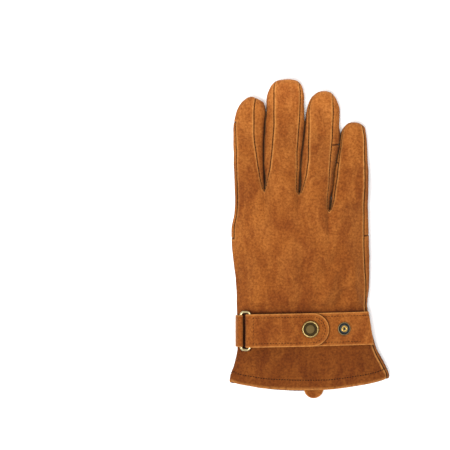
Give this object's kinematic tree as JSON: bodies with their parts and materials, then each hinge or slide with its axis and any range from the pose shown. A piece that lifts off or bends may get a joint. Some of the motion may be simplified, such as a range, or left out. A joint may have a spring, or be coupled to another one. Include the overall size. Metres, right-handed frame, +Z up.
{
  "type": "suede glove",
  "caption": "Right-hand suede dress glove lying palm down, thumb folded under, with a wrist strap through a metal ring, a snap and an open cuff.",
  "frame": {"origin": "on the surface the glove lies on, under the middle of its bounding box", "axes": "+Y to the fingertips, +X to the little finger, +Z up off the back of the hand"},
  "size_m": [0.1282, 0.2562, 0.0311],
  "materials": {
    "suede": "suede nap, tan",
    "dark_suede": "suede nap, darker tan",
    "brass": "pale worn brass",
    "antique_brass": "antique brass",
    "dark_brass": "dark brass"
  },
  "bodies": {
    "root": {"back_panel": "suede", "palm_panel": "dark_suede", "palm_heel_panel": "dark_suede", "index_side_panel": "suede", "fourchette_index_middle": "suede", "fourchette_middle_ring": "suede", "fourchette_ring": "suede", "fourchette_little": "suede", "ring_little_gusset": "suede", "thumb": "suede", "wrist_strap": "suede", "strap_ring": "brass", "strap_keeper": "suede", "snap_cap": "antique_brass", "snap_stud": "dark_brass", "pull_tab": "suede"}
  },
  "joints": []
}
